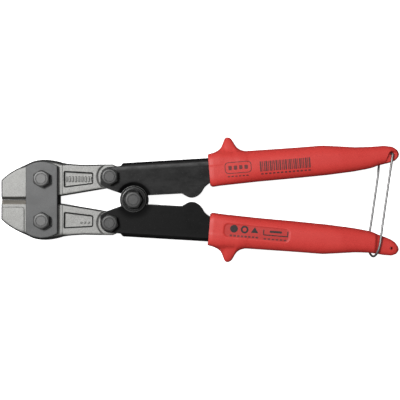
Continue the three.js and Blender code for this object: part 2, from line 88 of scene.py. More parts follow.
SEAT_STRIP_Y = 4.6  # the ground strip along the wider bevel
SEAT_CORNER = 1.6
SEAT_DEPTH = 0.26
FORGED_EDGE = 1.3  # radius round the forged outline
HEAD_EDGE = 2.8  # and where it shows round the head plates
PLATE_EDGE = 0.45
LEVER_EDGE = 0.35

WEB_START = np.array((-48.2, 22.95))
WEB_SLOPE = math.radians(3.4)
TAIL_END_X = 79.5

GRIP_ORIGIN = np.array((0.0, 18.0))
GRIP_TILT = math.radians(4.7)
GRIP_COS, GRIP_SIN = math.cos(GRIP_TILT), math.sin(GRIP_TILT)
GRIP_START = 5.7
GRIP_END = 125.4
TAB_START = 104.0
TAB_BEND = {"upper": 0.3, "lower": 2.6}
CORD_HOLE_U = 120.3
CORD_HOLE_V = 0.8
CORD_HOLE_RADIUS = {"upper": 1.1, "lower": 0.85}  # the wire passes through the upper one
CORD_HOLE_FLARE = 0.6
RELIEF_START = 1.9  # the relief beside the cord hole starts this far before it
RELIEF_Z = 4.1
SOCKET_Z = 5.6

WIRE_RADIUS = 0.7
BAIL_FRONT = 6.2
BAIL_BACK = -7.4

SPACING = 0.45  # between points along an outline
GRIP_SIDES = 160  # points round a grip's section

# Profiles along the grip's axis as (along, reach): the outer edge with the thumb guard and without it, the
# inner edge, and the half thickness on the face with the short relief and on the other.
GRIP_GUARD = [
    (5.7, 10.0), (9.0, 10.7), (12.0, 11.8), (14.3, 13.4), (16.0, 16.9), (16.9, 19.1), (18.0, 19.8),
    (19.8, 19.6), (21.2, 18.8), (22.3, 16.6), (23.8, 13.2), (26.3, 11.1), (30.0, 10.2),
]
GRIP_OUTER = [
    (5.7, 10.0), (9.0, 10.5), (26.3, 10.4), (30.0, 10.2), (60.0, 9.8), (78.0, 9.7), (90.0, 8.1), (98.0, 7.0),
    (107.0, 6.5), (116.0, 6.3), (121.4, 5.2), (124.1, 3.1), (125.4, 0.5),
]
GRIP_INNER = [
    (5.7, 9.4), (7.0, 10.6), (12.0, 10.2), (36.0, 9.6), (58.0, 9.4), (80.0, 9.0), (96.0, 8.2), (104.0, 7.4),
    (108.0, 6.8), (112.0, 5.7), (119.3, 4.7), (122.3, 3.9), (124.5, 2.0), (125.4, 0.3),
]
GRIP_FRONT = [
    (5.7, 7.6), (8.0, 8.0), (88.0, 7.8), (104.0, 6.6), (119.0, 5.9), (123.0, 4.7), (124.7, 2.6), (125.4, 0.4),
]
GRIP_BACK = [
    (5.7, 7.6), (8.0, 8.0), (88.0, 7.8), (104.0, 6.6), (109.4, 6.2), (110.3, 4.9), (111.2, 4.2), (121.0, 4.0),
    (123.4, 3.4), (124.7, 2.1), (125.4, 0.4),
]


# ---- Points and outlines ----


def in_frame(points, side=1):
    """Points about the mid-plane, in millimetres, taken to the shared frame. Side -1 turns them over."""
    return (np.asarray(points, float) * (1, side, side) + (SHIFT, 0, LIFT)) * MM


def smoothstep(value, low, high):
    t = np.clip((value - low) / (high - low), 0, 1)
    return t * t * (3 - 2 * t)


def columns(*parts):
    """Points from their coordinates, each a row of numbers or one number for all."""
    return np.column_stack(np.broadcast_arrays(*parts))


def turns(count, offset=0):
    """Angles evenly round a circle."""
    return 2 * np.pi * (np.arange(count) + offset) / count


def superellipse(c, s, across, up, power):
    """Radius in the direction (c, s) of a rounded box with these half sizes. A higher power is squarer."""
    return ((np.abs(c) / across) ** power + (np.abs(s) / up) ** power) ** (-1 / power)


class Outline:
    """A closed outline drawn stroke by stroke and kept as points about SPACING apart."""

    def __init__(self, x, y):
        self.points = [np.array((x, y), float)]

    def _add(self, curve, length):
        steps = max(1, round(length / SPACING))
        self.points += [curve(k / steps) for k in range(1, steps + 1)]

    def line(self, x, y):
        start, end = self.points[-1], np.array((x, y), float)
        self._add(lambda t: start + t * (end - start), norm(end - start))

    def bend(self, *controls):
        """A Bezier curve of any degree; the last control is its end."""
        nodes = np.vstack([self.points[-1], *[np.array(c, float) for c in controls]])

        def curve(t):
            level = nodes
            while len(level) > 1:
                level = level[:-1] * (1 - t) + level[1:] * t
            return level[0]

        self._add(curve, norm(np.diff(nodes, axis=0), axis=1).sum())

    def arc(self, centre, radius, start, end):
        def point(angle):
            return np.asarray(centre) + radius * np.array((math.cos(angle), math.sin(angle)))

        first = point(start)
        if norm(first - self.points[-1]) > SPACING / 4:
            self.line(*first)
        self._add(lambda t: point(start + t * (end - start)), abs(end - start) * radius)

    def closed(self):
        """The points, anticlockwise, with no repeat at the join."""
        self.line(*self.points[0])
        loop = np.array(self.points[:-1])
        x, y = loop.T
        area = np.dot(x, np.roll(y, -1)) - np.dot(y, np.roll(x, -1))
        return loop if area > 0 else loop[::-1]


def circle(centre, radius, spacing=SPACING):
    count = max(12, round(2 * math.pi * radius / spacing))
    angle = turns(count)
    return np.asarray(centre) + radius * columns(np.cos(angle), np.sin(angle))


def rounded_polygon(corners, radius):
    """An outline with its corners cut back by radius and rounded."""
    corners = np.array(corners, float)
    outline = None
    for corner, before, after in zip(corners, np.roll(corners, 1, axis=0), np.roll(corners, -1, axis=0)):
        start, end = (corner + (to - corner) * radius / norm(to - corner) for to in (before, after))
        if outline is None:
            outline = Outline(*start)
        else:
            outline.line(*start)
        outline.bend(corner, end)
    return outline.closed()


def distance_to(loop, points):
    best = np.full(len(points), np.inf)
    for start, end in zip(loop, np.roll(loop, -1, axis=0)):
        run = end - start
        share = np.clip(((points - start) @ run) / (run @ run), 0, 1)
        best = np.minimum(best, norm(points - start - share[:, None] * run, axis=1))
    return best


def inside(loop, points):
    x, y = points.T
    result = np.zeros(len(points), bool)
    for (x0, y0), (x1, y1) in zip(loop, np.roll(loop, -1, axis=0)):
        if y0 != y1:
            crosses = (y0 > y) != (y1 > y)
            result ^= crosses & (x < x0 + (y - y0) * (x1 - x0) / (y1 - y0))
    return result


def depth_within(loop, points):
    """Distance to the outline, positive inside it."""
    distance = distance_to(loop, points)
    return np.where(inside(loop, points), distance, -distance)


def beside(loop, offsets):
    """Points at each offset inward from an anticlockwise outline."""
    run = np.roll(loop, -1, axis=0) - np.roll(loop, 1, axis=0)
    inward = np.column_stack([-run[:, 1], run[:, 0]]) / norm(run, axis=1)[:, None]
    rows = []
    for offset in offsets:
        row = loop + offset * inward
        rows.append(row[distance_to(loop, row) > 0.85 * abs(offset)])
    return np.vstack(rows)


def field(low, high, step):
    """A staggered field of points over a rectangle."""
    rows = []
    for k, y in enumerate(np.arange(low[1], high[1], step * 0.87)):
        x = np.arange(low[0] + (k % 2) * step / 2, high[0], step)
        rows.append(columns(x, y))
    return np.vstack(rows)


# ---- Meshes ----


def new_mesh(name, points, faces):
    mesh = bpy.data.meshes.new(name)
    mesh.from_pydata(points, [], faces)
    return mesh


def in_scene(name, data):
    """A new object, linked to the scene."""
    made = bpy.data.objects.new(name, data)
    bpy.context.scene.collection.objects.link(made)
    return made


def make_piece(name, points, faces, look, rides, replaces=(), side=1, crease=38):
    """A closed mesh as a piece that rides on a body in place of CAD nodes. look is (slot, material); its slot
    is not used.
    """
    mesh = new_mesh(name, in_frame(points, side), faces)
    tidy = bmesh.new()
    tidy.from_mesh(mesh)
    bmesh.ops.recalc_face_normals(tidy, faces=tidy.faces)
    tidy.to_mesh(mesh)
    tidy.free()
    return finish_piece(name, mesh, look, rides, replaces, crease)


def finish_piece(name, mesh, look, rides, replaces, crease):
    slot, material = look
    mesh.shade_smooth()
    mesh.set_sharp_from_angle(angle=math.radians(crease))
    mesh.materials.append(material)
    piece = in_scene(name, mesh)
    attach(piece, rides)
    if replaces:
        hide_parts(*replaces)
    return piece


def bake(piece):
    """Works the piece's modifiers into its mesh."""
    bpy.context.view_layer.update()
    evaluated = piece.evaluated_get(bpy.context.evaluated_depsgraph_get())
    piece.data = bpy.data.meshes.new_from_object(evaluated)
    piece.modifiers.clear()


def within(loops, points):
    """Which points are inside the first outline and outside the others."""
    keep = inside(loops[0], points)
    for hole in loops[1:]:
        keep &= ~inside(hole, points)
    return keep


def triangulated(loops, free):
    """The first outline less the others, as (points, triangles, the loops as lists of point numbers)."""
    distance = np.min([distance_to(loop, free) for loop in loops], axis=0)
    free = free[within(loops, free) & (distance > 0.03)]
    _, first = np.unique(np.round(free / 0.07), axis=0, return_index=True)
    free = free[np.sort(first)]
    flat = np.vstack([*loops, free])
    edges, start, members = [], 0, []
    for loop in loops:
        numbers = list(range(start, start + len(loop)))
        members.append(numbers)
        edges += list(zip(numbers, numbers[1:] + numbers[:1]))
        start += len(loop)
    found, _, triangles, sources, _, _ = delaunay_2d_cdt([Vector(p) for p in flat], edges, [], 1, 1e-6)
    points = np.array([p[:] for p in found])
    where = {source: k for k, group in enumerate(sources) for source in group}
    triangles = np.array([t for t in triangles if len(t) == 3])
    keep = within(loops, points[triangles].mean(axis=1))
    return points, triangles[keep], [[where[k] for k in numbers] for numbers in members]


def slab(loops, free, top, bottom):
    """A closed body between two height functions over the first outline less the others."""
    flat, triangles, rims = triangulated(loops, free)
    count = len(flat)
    points = np.vstack([np.column_stack([flat, top(flat)]), np.column_stack([flat, bottom(flat)])])
    faces = [tuple(t) for t in triangles] + [tuple(t[::-1] + count) for t in triangles]
    for rim in rims:
        for a, b in zip(rim, rim[1:] + rim[:1]):
            faces.append((a, a + count, b + count, b))
    return points, faces


def joined(parts):
    """Several (points, faces) as one."""
    points, faces, start = [], [], 0
    for part_points, part_faces in parts:
        points.append(part_points)
        faces += [tuple(int(k) + start for k in face) for face in part_faces]
        start += len(part_points)
    return np.vstack(points), faces


def bands(count, size, closed=False):
    """Faces that join each of count rings, of size points each, to the next."""
    faces = []
    for r in range(count if closed else count - 1):
        here, there = r * size, ((r + 1) % count) * size
        for k in range(size):
            after = (k + 1) % size
            faces.append((here + k, here + after, there + after, there + k))
    return faces


def skinned(rings, closed=False):
    """A skin over rings of points. Unless it closes on itself, each end is capped by a fan to its middle."""
    rings = np.asarray(rings, float)
    count, size = rings.shape[:2]
    points = rings.reshape(-1, 3)
    faces = bands(count, size, closed)
    if not closed:
        points = np.vstack([points, rings[0].mean(axis=0), rings[-1].mean(axis=0)])
        last = (count - 1) * size
        for k in range(size):
            after = (k + 1) % size
            faces += [(after, k, count * size), (last + k, last + after, count * size + 1)]
    return points, faces


def rounded_drop(distance, radius):
    """How far a surface falls at this distance inside an edge with this radius."""
    d = np.clip(distance, 0, radius)
    return radius - np.sqrt(np.maximum(radius**2 - (radius - d) ** 2, 0))


EDGE_ROWS = np.array((0.08, 0.29, 0.62, 1.0))  # shares of an edge's radius that get a row of points


def unevenness(points, size, height, seed):
    """Gentle lumps of about this size and height."""
    return height * np.array([noise.noise(Vector((x / size, y / size, seed))) for x, y in points])


# ---- Materials ----


class Material:
    """A Principled material with its nodes made through short calls. Sizes of patterns are in millimetres."""

    def __init__(self, name, colour, roughness, metallic=0.0, **sockets):
        self.material = bpy.data.materials.new(name)
        self.material.use_nodes = True
        self.tree = self.material.node_tree
        self.shader = self.tree.nodes["Principled BSDF"]
        self.finish(Base_Color=(*colour, 1), Roughness=roughness, Metallic=metallic, **sockets)
        self.place = self.tree.nodes.new("ShaderNodeTexCoord")

    def node(self, kind, **inputs):
        made = self.tree.nodes.new(kind)
        for key, value in inputs.items():
            self.feed(made.inputs[key.replace("_", " ")], value)
        return made

    def feed(self, socket, value):
        if isinstance(value, bpy.types.NodeSocket):
            self.tree.links.new(value, socket)
        else:
            socket.default_value = value

    def noise(self, size, detail, rough, stretch=(1, 1, 1)):
        place = self.node("ShaderNodeMapping", Vector=self.place.outputs["Object"], Scale=stretch).outputs[0]
        shape = {"Scale": 1 / (size * MM), "Detail": detail, "Roughness": rough}
        return self.node("ShaderNodeTexNoise", Vector=place, **shape).outputs[0]

    def ramp(self, value, low, high, start=0.0, end=1.0):
        limits = {"From Min": low, "From Max": high, "To Min": start, "To Max": end}
        made = self.node("ShaderNodeMapRange", Value=value, **limits)
        made.interpolation_type = "SMOOTHSTEP"
        return made.outputs[0]

    def math(self, operation, a, b=0.0):
        made = self.tree.nodes.new("ShaderNodeMath")
        made.operation = operation
        self.feed(made.inputs[0], a)
        self.feed(made.inputs[1], b)
        return made.outputs[0]

    def mix(self, factor, a, b):
        """Colour a where factor is 0 and colour b where it is 1."""
        made = self.tree.nodes.new("ShaderNodeMix")
        made.data_type = "RGBA"
        self.feed(made.inputs["Factor"], factor)
        for socket, colour in ((made.inputs[6], a), (made.inputs[7], b)):
            self.feed(socket, colour if isinstance(colour, bpy.types.NodeSocket) else (*colour, 1))
        return made.outputs[2]

    def axes(self, kind):
        """X, Y and Z of each point ("Object") or of the surface's direction there ("Normal")."""
        return self.node("ShaderNodeSeparateXYZ", Vector=self.place.outputs[kind]).outputs

    def facing_up(self):
        """How squarely the surface faces up or down, from 0 on a side wall to 1 on a flat face."""
        return self.math("ABSOLUTE", self.axes("Normal")["Z"])

    def distance_from(self, pivot):
        """Distance in millimetres from a pivot's axis, or from its twin on the lower half."""
        at = self.axes("Object")
        x = self.math("SUBTRACT", at["X"], (pivot[0] + SHIFT) * MM)
        y = self.math("SUBTRACT", self.math("ABSOLUTE", at["Y"]), pivot[1] * MM)
        squares = self.math("ADD", self.math("MULTIPLY", x, x), self.math("MULTIPLY", y, y))
        return self.math("DIVIDE", self.math("SQRT", squares), MM)

    def bump(self, height, size, strength, **under):
        made = self.node("ShaderNodeBump", Height=height, Distance=size * MM, Strength=strength, **under)
        return made.outputs[0]

    def textured(self, colour, pattern, rough, relief):
        """Finishes it with roughness and relief, each (low, high) or (size, strength), from one pattern."""
        rough = self.ramp(pattern, 0.3, 0.7, *rough)
        return self.finish(Base_Color=colour, Roughness=rough, Normal=self.bump(pattern, *relief))

    def finish(self, **outputs):
        for socket, value in outputs.items():
            self.feed(self.shader.inputs[socket.replace("_", " ")], value)
        return self.material


def grey(value):
    return (value,) * 3


def forged_steel():
    """Pale tumbled faces with fine grit marks, and painted shade on every wall and rounded edge but the cut
    steps round the link pivots.
    """
    m = Material("forged_steel", (0.5, 0.49, 0.46), 0.45, 0.35)
    grit = m.noise(0.5, 4, 0.7)
    patches = m.noise(5.0, 3, 0.6)
    bright = m.mix(m.ramp(grit, 0.34, 0.66), (0.19, 0.19, 0.183), (0.365, 0.365, 0.352))
    bright = m.mix(m.ramp(patches, 0.35, 0.7, 0.0, 0.35), bright, (0.245, 0.242, 0.232))
    wall = m.mix(m.ramp(grit, 0.35, 0.65), (0.02, 0.021, 0.02), (0.055, 0.055, 0.054))
    outside = BOSS_STEP_RADIUS + BOSS_STEP[1]
    cut = m.ramp(m.distance_from(LINK_PIVOT), outside + 0.1, outside + 0.5, 1.0, 0.0)
    # Painted shade: walls and rounded edges take the dark colour, but the steps round the link pivots keep
    # most of the faces' pale colour.
    shown = m.math("MAXIMUM", m.ramp(m.facing_up(), 0.84, 0.992), m.math("MULTIPLY", cut, 0.88))
    rough = m.ramp(grit, 0.3, 0.7, 0.42, 0.58)
    fine = m.bump(m.noise(0.3, 3, 0.7), 0.03, 0.8)
    normal = m.bump(grit, 0.08, 0.8, Normal=fine)
    return m.finish(Base_Color=m.mix(shown, wall, bright), Roughness=rough, Normal=normal)


def ground_edge(name, dark, light):
    """A cutting bevel, ground along the jaw: a dark copy painted in shade, and a paler copy painted in light
    over a tempered tint on the wide side.
    """
    m = Material(name, light, 0.38, 0.3)
    lines = m.noise(0.5, 3, 0.6, (0.06, 1, 1))
    colour = m.mix(m.ramp(lines, 0.35, 0.65), dark, light)
    return m.textured(colour, lines, (0.32, 0.48), (0.03, 0.6))


def plate_steel():
    """Head plates: dark phosphate grey with a fine mottle, a few pits, and painted shade on the rounded edges
    and side walls.
    """
    m = Material("plate_steel", (0.14, 0.145, 0.15), 0.5, 0.3)
    mottle = m.noise(0.8, 5, 0.65)
    clouds = m.noise(6.0, 3, 0.5)
    colour = m.mix(m.ramp(mottle, 0.33, 0.68), (0.064, 0.065, 0.065), (0.107, 0.108, 0.108))
    colour = m.mix(m.ramp(clouds, 0.4, 0.7, 0.0, 0.5), colour, (0.068, 0.069, 0.0695))
    pits = m.ramp(m.noise(2.6, 1, 0.4), 0.24, 0.29, 1.0, 0.0)
    colour = m.mix(m.math("MULTIPLY", pits, 0.6), colour, (0.06, 0.045, 0.035))
    # Painted shade on the rounded edges and side walls.
    colour = m.mix(m.ramp(m.facing_up(), 0.3, 0.9, 0.85, 0.0), colour, (0.02, 0.021, 0.022))
    return m.textured(colour, mottle, (0.42, 0.58), (0.04, 0.6))


def fastener_steel(name, tone):
    """Bolts, nuts and washers: turned dark steel with faint tool marks. tone is how bright the steel is."""
    m = Material(name, grey(tone), 0.42, 0.4)
    grain = m.noise(0.45, 4, 0.6)
    smears = m.noise(2.5, 3, 0.6)
    colour = m.mix(m.ramp(grain, 0.35, 0.68), grey(tone * 0.72), (tone * 1.28, tone * 1.28, tone * 1.26))
    colour = m.mix(m.ramp(smears, 0.42, 0.7, 0.0, 0.5), colour, (tone * 0.85, tone * 0.83, tone * 0.80))
    # Painted shade on the chamfers and sides.
    colour = m.mix(m.ramp(m.facing_up(), 0.80, 0.97, 0.82, 0.0), colour, grey(tone * 0.18))
    return m.textured(colour, grain, (0.34, 0.5), (0.025, 0.6))


def washer_steel():
    """The centre pivot's washers: black oxide, polished bright where the rim turns down."""
    m = Material("washer_steel", grey(0.03), 0.3, 0.8)
    grain = m.noise(0.45, 4, 0.6)
    black = m.mix(m.ramp(grain, 0.35, 0.68), grey(0.014), grey(0.028))
    rim = m.ramp(m.facing_up(), 0.86, 0.96, 1.0, 0.0)
    rim = m.math("MULTIPLY", rim, m.ramp(m.facing_up(), 0.1, 0.5))
    rough = m.ramp(grain, 0.3, 0.7, 0.18, 0.28)
    return m.finish(Base_Color=m.mix(rim, black, (0.27, 0.27, 0.265)), Roughness=rough)


def black_lacquer(name, paleness, band_highlight):
    """Levers' black paint with dust specks, and painted shade on its walls, bends and round the centre pivot.
    paleness is how grey its faces are, a painted sheen; band_highlight is how pale its painted highlight
    below the bend is.
    """
    m = Material(name, (0.012, 0.012, 0.0125), 0.42)
    peel = m.noise(0.7, 4, 0.65)
    rub = m.noise(6.0, 4, 0.65, (0.6, 1, 1))
    specks = m.ramp(m.noise(0.75, 2, 0.6), 0.62, 0.72)
    dark = (0.004, 0.004, 0.0042)
    colour = m.mix(m.ramp(rub, 0.32, 0.7), grey(paleness * 0.45), grey(paleness * 1.25))
    colour = m.mix(m.math("MULTIPLY", specks, 0.35), colour, grey(paleness * 2.5 + 0.02))
    # Painted shade keeps the paint dark round the centre pivot.
    from_pivot = m.distance_from(CENTRE_PIVOT)
    colour = m.mix(m.ramp(from_pivot, 8.4, 13.0), dark, colour)
    # A painted highlight in a band beside the bend, broken up by noise.
    at = m.axes("Object")
    fall = m.math("MULTIPLY", at["X"], math.tan(WEB_SLOPE))
    web = (WEB_START[1] - (WEB_START[0] + SHIFT) * math.tan(WEB_SLOPE)) * MM
    below = m.math("SUBTRACT", m.math("ADD", fall, web), m.math("ABSOLUTE", at["Y"]))
    below = m.math("DIVIDE", below, MM)
    band = m.math("MULTIPLY", m.ramp(below, 2.1, 2.7), m.ramp(below, 3.2, 5.2, 1.0, 0.0))
    band = m.math("MULTIPLY", band, m.ramp(m.noise(3.0, 5, 0.75, (0.4, 1, 1)), 0.25, 0.75, 0.25, 1.0))
    colour = m.mix(band, colour, grey(band_highlight))
    # Painted shade on the walls, bends and rounded edges, all but those near the centre pivot.
    shown = m.math("MAXIMUM", m.ramp(m.facing_up(), 0.85, 0.99), m.ramp(from_pivot, 11.6, 12.6, 1.0, 0.0))
    colour = m.mix(shown, dark, colour)
    rough = m.ramp(rub, 0.35, 0.7, 0.40, 0.54)
    dull = m.ramp(from_pivot, 9.0, 13.5, 0.03, 0.115)
    return m.finish(
        Base_Color=colour, Roughness=rough, Normal=m.bump(peel, 0.04, 0.8), Specular_IOR_Level=dull
    )


def worn_edge(name, inward, wear):
    """Sharp edges of a lever. inward is the Y direction toward the other lever, where the paint is worn
    through.
    """
    m = Material(name, grey(0.02), 0.36, 0.3)
    facing = m.ramp(m.math("MULTIPLY", m.axes("Normal")["Y"], inward), 0.08, 0.3)
    paleness = m.math("MULTIPLY", facing, m.ramp(m.noise(3.0, 4, 0.7), 0.33, 0.5, 0.0, wear))
    return m.finish(Base_Color=m.mix(paleness, grey(0.012), (0.5, 0.5, 0.49)))


def red_plastic(name, shade):
    """Grips: moulded red plastic with a fine spark-eroded texture. shade multiplies its colour."""
    m = Material(name, (0.55, 0.045, 0.04), 0.48, Specular_IOR_Level=0.36)
    texture = m.noise(0.42, 3, 0.6)
    clouds = m.noise(9.0, 3, 0.5)
    colour = m.mix(m.ramp(texture, 0.3, 0.7), (0.56, 0.034, 0.029), (0.72, 0.054, 0.046))
    colour = m.mix(m.ramp(clouds, 0.35, 0.7, 0.0, 0.3), colour, (0.70, 0.062, 0.05))
    colour = m.mix(1 - shade, colour, (0, 0, 0))
    return m.textured(colour, texture, (0.40, 0.52), (0.07, 0.8))


def printing_ink(name, dark, light):
    """Pad-printed ink, a little thin in places."""
    m = Material(name, dark, 0.6)
    return m.finish(Base_Color=m.mix(m.ramp(m.noise(0.7, 3, 0.6), 0.45, 0.7), dark, light))


def bright_wire():
    """Plated spring wire with faint dulled patches along it."""
    m = Material("bright_wire", grey(0.5), 0.34, 1.0)
    dull = m.noise(4.0, 3, 0.6)
    colour = m.mix(m.ramp(dull, 0.35, 0.7), grey(0.27), grey(0.32))
    return m.finish(Base_Color=colour, Roughness=m.ramp(dull, 0.3, 0.7, 0.46, 0.52))


FORGED = ("forged_steel", forged_steel())
PLATE = ("plate_steel", plate_steel())
JAW_FASTENER = ("fastener_steel", fastener_steel("jaw_fastener_steel", 0.092))
FASTENER = ("fastener_steel", fastener_steel("fastener_steel", 0.052))
WASHER = ("fastener_steel", washer_steel())
# Lit and shaded copies: the upper lever's paler faces and band are painted sheen and highlight, and the lower
# lever's darker faces painted shade.
LACQUER = {
    "upper": ("black_lacquer", black_lacquer("painted_sheen_black_lacquer", 0.021, 0.10)),
    "lower": ("black_lacquer", black_lacquer("black_lacquer", 0.0035, 0.006)),
}
WORN = {"upper": worn_edge("upper_worn_edge", -1, 0.15), "lower": worn_edge("lower_worn_edge", 1, 0.3)}
PLASTIC = ("red_plastic", red_plastic("red_plastic", 1.0))
PANEL_PLASTIC = red_plastic("panel_plastic", 0.80)
WIRE = ("bright_wire", bright_wire())
# Lit and shaded copies: the narrow bevel is dark, painted shade, and the wide bevel paler, painted light over
# its tempered tint.
SHADED_NARROW_BEVEL = ground_edge("ground_edge", (0.05, 0.052, 0.05), (0.095, 0.097, 0.093))
LIT_WIDE_BEVEL = ground_edge("tempered_lit_edge", (0.25, 0.235, 0.205), (0.40, 0.375, 0.335))
BLACK_INK = printing_ink("black_ink", (0.014, 0.011, 0.011), (0.05, 0.012, 0.011))
FADED_INK = printing_ink("faded_ink", (0.11, 0.02, 0.019), (0.20, 0.024, 0.022))


# ---- Jaws and head plates ----


def jaw_outline():
    slope = math.atan(ARM_SLOPE)
    along = np.array((math.cos(slope), math.sin(slope)))
    across = np.array((-math.sin(slope), math.cos(slope)))
    heel = JAW_PIVOT[1] - EDGE_Y

    def leave(centre, radius, sign):
        """The angle at which the arm's inner edge leaves a circle about a pivot."""
        offset = (ARM_START - centre) @ across
        x, y = across * offset + along * sign * math.sqrt(radius**2 - offset**2)
        return math.atan2(y, x)

    jaw = Outline(NOSE_X, EDGE_Y)
    jaw.line(NOSE_X, NOSE_TOP)
    jaw.bend((-120.0, 16.6), (-113.2, 19.85))
    jaw.line(-106.0, 23.5)
    jaw.bend((-101.8, 25.6), (-93.5, 25.8), (-86.0, 23.2))
    jaw.bend((-81.0, 22.1), (-72.0, 21.9))
    jaw.line(-54.6, 22.2)
    jaw.line(-51.5, 20.8)
    jaw.arc(LINK_PIVOT, BOSS_RADIUS, math.pi / 4, leave(LINK_PIVOT, BOSS_RADIUS, -1))
    jaw.arc(JAW_PIVOT, heel, leave(JAW_PIVOT, heel, 1), -math.pi / 2)
    return jaw.closed()


JAW_LOOP = jaw_outline()
POCKET_LOOP = rounded_polygon(POCKET, POCKET_CORNER)


def raised_ribs(points):
    """A row of plain ribs on the pocket's floor."""
    x, y = points.T
    pitch, rib = 2.0, 0.55
    phase = np.abs((x + 75.5 + pitch / 2) % pitch - pitch / 2)
    row = smoothstep(8.2 - np.abs(x + 75.7), 0, 0.4) * smoothstep(1.75 - np.abs(y - 12.9), -0.15, 0.35)
    return 0.3 * row * (1 - smoothstep(phase, rib - 0.25, rib + 0.15))


def raised_dots(points):
    """Three plain dots near one end of the pocket's floor."""
    height = np.zeros(len(points))
    for x in (-74.2, -71.9, -69.6):
        height += 0.3 * (1 - smoothstep(norm(points - (x, 14.3), axis=1), 0.3, 0.75))
    return height


def above_seat(points, strip):
    """1 on the nose and the arm, which stand above the machined seat and the strip beside the bevel."""
    x, y = points.T
    if strip:
        nose = columns(SEAT_X[0] - x, y - SEAT_STRIP_Y)
    else:
        nose = columns(UNDER_PLATE_X - x, np.inf)
    near = np.clip(SEAT_CORNER - nose, 0, None)
    depth = np.where((nose < SEAT_CORNER).all(axis=1), SEAT_CORNER - np.hypot(*near.T), nose.min(axis=1))
    arm = smoothstep(x - SEAT_X[1], -STEP_HALF, STEP_HALF)
    return np.maximum(smoothstep(depth, -STEP_HALF, STEP_HALF), arm)


def jaw_face(points, bevel, strip, marks, seed):
    """Height of one face of a jaw above the mid-plane."""
    x, y = points.T
    edge = distance_to(JAW_LOOP, points)
    height = np.full(len(points), JAW_HALF)
    height += unevenness(points, 5.0, 0.05, seed) + unevenness(points, 1.3, 0.025, seed + 9)
    height -= SEAT_DEPTH * (1 - above_seat(points, strip))
    pocket = depth_within(POCKET_LOOP, points)
    sunk = smoothstep(pocket, -0.05, POCKET_WALL)
    height -= sunk * (POCKET_DEPTH - marks(points))
    from_link = norm(points - LINK_PIVOT, axis=1) - BOSS_STEP_RADIUS
    boss = smoothstep(from_link, *BOSS_STEP)
    height = BOSS_HALF + (height - BOSS_HALF) * boss
    bevel_plane = EDGE_LAND + (y - EDGE_Y) * (JAW_HALF - EDGE_LAND) / bevel
    bevel_plane += np.clip(x - BEVEL_END_X, 0, None) * 4
    height = np.minimum(height, bevel_plane)
    beside_head = smoothstep(x, -114, -106) * (1 - smoothstep(x, -88, -81)) * smoothstep(y, 14, 18)
    radius = FORGED_EDGE + (HEAD_EDGE - FORGED_EDGE) * beside_head
    limit = height * (0.4 + 0.4 * smoothstep(height, 2.0, 3.5))
    return height - rounded_drop(edge, np.minimum(radius, limit))


def no_marks(points):
    return np.zeros(len(points))


def build_jaw(half, side, front_marks, back_marks):
    lines = []
    for width in (FRONT_BEVEL, BACK_BEVEL):
        x = np.arange(NOSE_X + 0.2, BEVEL_END_X, SPACING)
        lines.append(columns(x, EDGE_Y + width))
    seat = np.arange(EDGE_Y, 24, SPACING)
    step_x = np.arange(NOSE_X + 0.2, SEAT_X[0] - SEAT_CORNER, SPACING)
    turn = SEAT_CORNER * np.array((-1, 1)) + (SEAT_X[0], SEAT_STRIP_Y)
    for step in (-STEP_HALF, 0, STEP_HALF):
        lines += [columns(x + step, seat) for x in SEAT_X]
        lines.append(columns(step_x, SEAT_STRIP_Y + step))
        bend = circle(turn, SEAT_CORNER + step, 0.3)
        lines.append(bend[(bend[:, 0] > turn[0]) & (bend[:, 1] < turn[1])])
    free = np.vstack([
        beside(JAW_LOOP, (0.06, 0.2, 0.43, 0.7, 1.1, 1.6, 2.2, 2.8)),
        beside(POCKET_LOOP, (-0.12, 0.02, 0.2, 0.42, 0.66, 0.9, 1.13)),
        *[circle(LINK_PIVOT, BOSS_STEP_RADIUS + step) for step in (-0.42, -0.2, 0.0, 0.2, 0.4, 0.6, 0.82)],
        *lines,
        field((-87, 5), (-65, 20), 0.33),
        field((-124, 0), (-47, 26), 0.62),
    ])
    bores = [circle(JAW_PIVOT, BORE), circle(LINK_PIVOT, BORE)]
    points, faces = slab(
        [JAW_LOOP, *bores],
        free,
        lambda flat: jaw_face(flat, FRONT_BEVEL, False, front_marks, 1.5 + side),
        lambda flat: -jaw_face(flat, BACK_BEVEL, True, back_marks, 4.5 + side),
    )
    piece = make_piece(
        f"{half}_jaw_forging", points, faces, FORGED, f"{half}_jaw_arm", [f"{half}_jaw"], side, crease=42
    )
    piece.data.materials.append(SHADED_NARROW_BEVEL)
    piece.data.materials.append(LIT_WIDE_BEVEL)
    for face in piece.data.polygons:
        x, y, z = face.center / MM - Vector((SHIFT, 0, LIFT))
        # The narrow bevel's dark copy, painted shade, also runs along the edge where the jaws meet.
        number, width = (1, FRONT_BEVEL) if z * side > 0 or abs(y) < EDGE_SHADE_STRIP else (2, BACK_BEVEL)
        if x < BEVEL_END_X and abs(y) < EDGE_Y + width and abs(face.normal.y) > 0.3:
            face.material_index = number


def build_head_plate(name, low, high, seed):
    half, crown = 20.7, 26.7
    plate = Outline(-108.1, -half)
    plate.bend((-98.2, -crown), (-88.4, -half - 0.2))
    plate.line(-88.4, half + 0.2)
    plate.bend((-98.2, crown), (-108.1, half))
    loop = plate.closed()
    bores = [circle(JAW_PIVOT * (1, side), BORE) for side in (1, -1)]
    free = np.vstack([beside(loop, EDGE_ROWS * PLATE_EDGE), field((-109, -25), (-88, 25), 0.7)])

    def face(points, seed):
        return unevenness(points, 7.0, 0.05, seed) - rounded_drop(distance_to(loop, points), PLATE_EDGE)

    points, faces = slab(
        [loop, *bores], free, lambda flat: high + face(flat, seed), lambda flat: low - face(flat, seed + 3)
    )
    make_piece(f"{name}_sheet", points, faces, PLATE, "head", [name])


# ---- Levers ----


